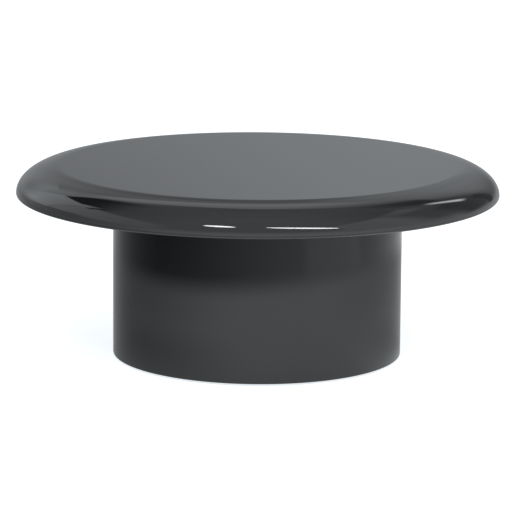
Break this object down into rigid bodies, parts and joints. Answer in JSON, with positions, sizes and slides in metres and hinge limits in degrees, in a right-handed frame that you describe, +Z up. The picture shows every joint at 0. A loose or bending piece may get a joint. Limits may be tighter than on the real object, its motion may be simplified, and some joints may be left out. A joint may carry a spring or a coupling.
{
  "type": "round cocktail table",
  "caption": "Low round cocktail table: thick disc top with a broad soft upper edge on a plain wide drum, in dark grey high-gloss lacquer, with screw levellers hidden under the drum.",
  "frame": {"origin": "on the floor, under the middle of the table", "axes": "+Z up through the middle of the top and the drum; -Y towards the picture's camera"},
  "size_m": [1.0159, 1.016, 0.4064],
  "materials": {
    "gloss_lacquer": "high-gloss dark grey lacquer on fibreboard and bent plywood",
    "sealed_board": "satin black sealer on fibreboard",
    "fibreboard": "raw medium-density fibreboard",
    "birch_plywood": "sanded birch plywood",
    "pine": "planed pine",
    "beech": "fluted beech dowel",
    "zinc_steel": "bright zinc plate",
    "brass_insert": "turned brass",
    "nylon": "moulded black nylon"
  },
  "bodies": {
    "table": {"top_skin": "gloss_lacquer", "rim_ring": "gloss_lacquer", "under_panel": "sealed_board", "core_hub": "fibreboard", "core_spokes": "fibreboard", "bolt_blocks": "fibreboard", "threaded_inserts": "brass_insert", "locating_dowels": "beech", "connector_bolts": "zinc_steel", "bolt_washers": "zinc_steel", "drum_wall": "gloss_lacquer", "drum_top_ring": "birch_plywood", "drum_bottom_ring": "birch_plywood", "drum_posts": "pine", "post_screws": "zinc_steel", "leveller_nuts": "zinc_steel"},
    "leveller_pad_1": {"leveller_pad_1": "nylon"},
    "leveller_stem_1": {"leveller_stem_1": "zinc_steel"},
    "leveller_pad_2": {"leveller_pad_2": "nylon"},
    "leveller_stem_2": {"leveller_stem_2": "zinc_steel"},
    "leveller_pad_3": {"leveller_pad_3": "nylon"},
    "leveller_stem_3": {"leveller_stem_3": "zinc_steel"},
    "leveller_pad_4": {"leveller_pad_4": "nylon"},
    "leveller_stem_4": {"leveller_stem_4": "zinc_steel"}
  },
  "joints": [
    {"name": "leveller_1_travel", "type": "slide", "parent": "table", "child": "leveller_pad_1", "axis": [0, 0, -1], "range_m": [0, 0.01]},
    {"name": "leveller_1_turn", "type": "hinge", "parent": "leveller_pad_1", "child": "leveller_stem_1", "pos_m": [0.16956, 0.16956, 0.02], "axis": [0, 0, -1], "range_deg": [0, 2880]},
    {"name": "leveller_2_travel", "type": "slide", "parent": "table", "child": "leveller_pad_2", "axis": [0, 0, -1], "range_m": [0, 0.01]},
    {"name": "leveller_2_turn", "type": "hinge", "parent": "leveller_pad_2", "child": "leveller_stem_2", "pos_m": [-0.16956, 0.16956, 0.02], "axis": [0, 0, -1], "range_deg": [0, 2880]},
    {"name": "leveller_3_travel", "type": "slide", "parent": "table", "child": "leveller_pad_3", "axis": [0, 0, -1], "range_m": [0, 0.01]},
    {"name": "leveller_3_turn", "type": "hinge", "parent": "leveller_pad_3", "child": "leveller_stem_3", "pos_m": [-0.16956, -0.16956, 0.02], "axis": [0, 0, -1], "range_deg": [0, 2880]},
    {"name": "leveller_4_travel", "type": "slide", "parent": "table", "child": "leveller_pad_4", "axis": [0, 0, -1], "range_m": [0, 0.01]},
    {"name": "leveller_4_turn", "type": "hinge", "parent": "leveller_pad_4", "child": "leveller_stem_4", "pos_m": [0.16956, -0.16956, 0.02], "axis": [0, 0, -1], "range_deg": [0, 2880]}
  ],
  "couplings": [
    {"joint": "leveller_1_turn", "follows": "leveller_1_travel", "rad_per_m": 5026.5},
    {"joint": "leveller_2_turn", "follows": "leveller_2_travel", "rad_per_m": 5026.5},
    {"joint": "leveller_3_turn", "follows": "leveller_3_travel", "rad_per_m": 5026.5},
    {"joint": "leveller_4_turn", "follows": "leveller_4_travel", "rad_per_m": 5026.5}
  ]
}
